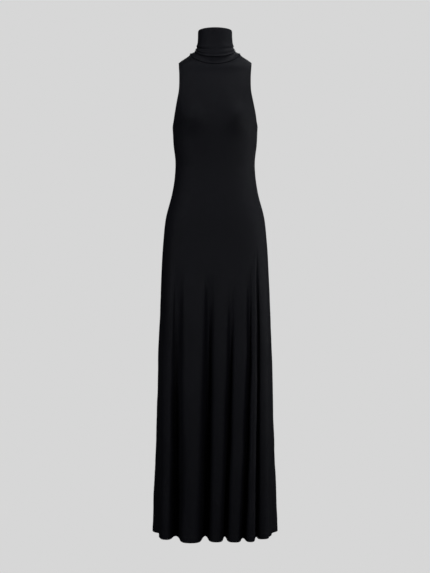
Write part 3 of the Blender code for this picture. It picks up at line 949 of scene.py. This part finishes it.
def make_jersey():
    """Matte black jersey: plain knit loops, faintly uneven dye and a soft sheen."""
    made = Nodes("black_jersey_knit")
    place = made.add("ShaderNodeUVMap")
    place.uv_map = "cloth"
    parts = made.add("ShaderNodeSeparateXYZ", Vector=place.outputs["UV"])
    across_loops = made.math("DIVIDE", parts.outputs["X"], WALE)
    up_loops = made.math("DIVIDE", parts.outputs["Y"], COURSE)
    side = made.triangle(across_loops)
    slanted = made.math("ADD", up_loops, made.math("MULTIPLY", side, LOOP_SLANT))
    leg = made.math("SUBTRACT", 1.0, made.triangle(slanted))
    groove = made.math("SUBTRACT", 1.0, made.math("POWER", side, 3.0))
    loops = made.math("MULTIPLY", made.math("POWER", leg, LOOP_FULLNESS), groove)
    where = made.add("ShaderNodeTexCoord")
    fibre = made.add("ShaderNodeTexNoise", Vector=where.outputs["Object"], Scale=FIBRE_SCALE, Detail=2.0)
    height = made.math("ADD", loops, made.math("MULTIPLY", fibre.outputs["Fac"], FIBRE_SHARE))
    bump = made.add("ShaderNodeBump", Height=height, Strength=KNIT_STRENGTH, Distance=KNIT_DEPTH)
    stretched = made.add("ShaderNodeMapping", Vector=where.outputs["Object"], Scale=UPWARD_STRETCH)
    tall = stretched.outputs["Vector"]
    broad = made.add("ShaderNodeTexNoise", Vector=tall, Scale=BROAD_SCALE, Detail=4.0)
    fine = made.add("ShaderNodeTexNoise", Vector=where.outputs["Object"], Scale=FINE_SCALE, Detail=3.0)
    broad_part = made.math("MULTIPLY", broad.outputs["Fac"], BROAD_SHARE)
    fine_part = made.math("MULTIPLY", fine.outputs["Fac"], FINE_SHARE)
    tone = made.math("ADD", broad_part, fine_part)
    dye = made.ranged(tone, DYE_TONES, (0.0, 1.0))
    made.put(made.shader, "Base Color", made.blend(dye, DARK_JERSEY, LIGHT_JERSEY))
    made.put(made.shader, "Roughness", made.ranged(tone, ROUGHNESS_TONES, JERSEY_ROUGHNESS))
    made.put(made.shader, "Normal", bump.outputs["Normal"])
    made.put(made.shader, "Specular IOR Level", JERSEY_GLOSS)
    return made.material


def make_thread():
    """Black sewing thread with its twist."""
    made = Nodes("black_thread")
    where = made.add("ShaderNodeTexCoord")
    place = where.outputs["Object"]
    twist = made.add(
        "ShaderNodeTexWave", Vector=place, Scale=TWIST_SCALE, Distortion=TWIST_UNEVEN, Detail=1.0
    )
    height = twist.outputs["Fac"]
    bump = made.add("ShaderNodeBump", Height=height, Strength=TWIST_STRENGTH, Distance=TWIST_DEPTH)
    tone = made.add("ShaderNodeTexNoise", Vector=place, Scale=THREAD_TONE_SCALE)
    made.put(made.shader, "Base Color", made.blend(tone.outputs["Fac"], DARK_THREAD, LIGHT_THREAD))
    made.put(made.shader, "Roughness", THREAD_ROUGHNESS)
    made.put(made.shader, "Normal", bump.outputs["Normal"])
    made.put(made.shader, "Specular IOR Level", THREAD_GLOSS)
    return made.material


# The studio: the photograph's frame in metres, its backdrop and its lights
CAMERA_DISTANCE = 4.2
CAMERA_HEIGHT = -0.7324
CAMERA_ASIDE = -0.0003
FRAME_HEIGHT = 1.805
SENSOR = 36.0
BACKDROP = 0.679
SURROUND = 0.01
SURROUND_COLOUR = (0.92, 0.95, 1.0, 1.0)
FLOOR_HEIGHT = -1.68
FLOOR_SIZE = 14.0

LIT_POINT = (0.0, 0.0, -0.35)
LIGHT_DISTANCE = 2.4
LIGHT_COLOUR = (0.95, 0.97, 1.0)

# Softboxes by how many degrees they stand round from the front, to the right, and how far up
Softbox = namedtuple("Softbox", "name around up width height power")
SOFTBOXES = (
    Softbox("left", -50.0, 15.0, 1.1, 2.1, 10.8),
    Softbox("above_left", -50.0, 75.0, 1.1, 1.1, 6.2),
    Softbox("front_right", 25.0, 10.0, 1.1, 1.9, 12.5),
    Softbox("right", 100.0, 0.0, 1.1, 1.1, 9.6),
    Softbox("above_right", 100.0, 55.0, 1.1, 1.1, 12.6),
    Softbox("behind", 175.0, 25.0, 1.6, 1.6, 14.0),
)


def make_studio():
    """The camera, the softboxes, and a backdrop that the camera sees as the photograph's pale grey."""
    scene = bpy.context.scene
    camera = bpy.data.objects.new("camera", bpy.data.cameras.new("camera"))
    camera.location = (CAMERA_ASIDE, -CAMERA_DISTANCE, CAMERA_HEIGHT)
    camera.rotation_euler = (math.radians(90), 0, 0)
    camera.data.sensor_width = SENSOR
    camera.data.lens = SENSOR * CAMERA_DISTANCE / FRAME_HEIGHT
    scene.collection.objects.link(camera)
    scene.camera = camera
    for box in SOFTBOXES:
        data = bpy.data.lights.new(box.name, "AREA")
        data.shape = "RECTANGLE"
        data.size, data.size_y = box.width, box.height
        data.energy = box.power
        data.color = LIGHT_COLOUR
        light = bpy.data.objects.new(box.name, data)
        around, up = math.radians(box.around), math.radians(box.up)
        away = Vector((math.sin(around) * math.cos(up), -math.cos(around) * math.cos(up), math.sin(up)))
        light.location = Vector(LIT_POINT) + LIGHT_DISTANCE * away
        light.rotation_euler = away.to_track_quat("Z", "Y").to_euler()
        scene.collection.objects.link(light)
    world = bpy.data.worlds.new("studio")
    world.use_nodes = True
    scene.world = world
    tree = world.node_tree
    seen = tree.nodes["Background"]
    seen.inputs["Color"].default_value = (BACKDROP, BACKDROP, BACKDROP, 1.0)
    lighting = tree.nodes.new("ShaderNodeBackground")
    lighting.inputs["Color"].default_value = SURROUND_COLOUR
    lighting.inputs["Strength"].default_value = SURROUND
    ray = tree.nodes.new("ShaderNodeLightPath")
    choose = tree.nodes.new("ShaderNodeMixShader")
    tree.links.new(ray.outputs["Is Camera Ray"], choose.inputs[0])
    tree.links.new(lighting.outputs[0], choose.inputs[1])
    tree.links.new(seen.outputs[0], choose.inputs[2])
    tree.links.new(choose.outputs[0], tree.nodes["World Output"].inputs["Surface"])
    scene.view_settings.view_transform = "Standard"
    scene.view_settings.look = "None"


def make_floor():
    """A plain pale floor of the backdrop's own grey, so that no edge or horizon shows."""
    half = FLOOR_SIZE / 2
    mesh = bpy.data.meshes.new("floor")
    sides = ((-half, -half), (half, -half), (half, half), (-half, half))
    corners = [(x, y, FLOOR_HEIGHT) for x, y in sides]
    mesh.from_pydata(corners, [], [(0, 1, 2, 3)])
    material = bpy.data.materials.new("floor")
    material.use_nodes = True
    tree = material.node_tree
    tree.nodes.remove(tree.nodes["Principled BSDF"])
    pale = tree.nodes.new("ShaderNodeEmission")
    pale.inputs["Color"].default_value = (BACKDROP, BACKDROP, BACKDROP, 1.0)
    clear = tree.nodes.new("ShaderNodeBsdfTransparent")
    geometry = tree.nodes.new("ShaderNodeNewGeometry")
    choose = tree.nodes.new("ShaderNodeMixShader")
    tree.links.new(geometry.outputs["Backfacing"], choose.inputs[0])
    tree.links.new(pale.outputs[0], choose.inputs[1])
    tree.links.new(clear.outputs[0], choose.inputs[2])
    tree.links.new(choose.outputs[0], tree.nodes["Material Output"].inputs["Surface"])
    mesh.materials.append(material)
    floor = bpy.data.objects.new("floor", mesh)
    bpy.context.scene.collection.objects.link(floor)
    floor.visible_diffuse = False
    floor.visible_glossy = False
    floor.visible_transmission = False
    floor.visible_shadow = False


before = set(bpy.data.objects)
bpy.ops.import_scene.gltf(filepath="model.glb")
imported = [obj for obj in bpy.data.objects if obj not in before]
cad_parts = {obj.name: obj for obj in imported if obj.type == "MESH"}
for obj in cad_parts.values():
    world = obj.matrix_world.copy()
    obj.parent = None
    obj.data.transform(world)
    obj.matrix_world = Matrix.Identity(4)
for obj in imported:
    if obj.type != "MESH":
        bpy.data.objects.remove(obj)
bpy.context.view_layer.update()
jersey = make_jersey()
thread = make_thread()
front, front_stitching = make_panel("front", FRONT_FOLDS, FRONT_CREASES, FRONT_FLUTES, -1, jersey, thread)
back, back_stitching = make_panel("back", BACK_FOLDS, BACK_CREASES, BACK_FLUTES, 1, jersey, thread)
collar, collar_stitching = make_collar(jersey, thread)
make_studio()
make_floor()
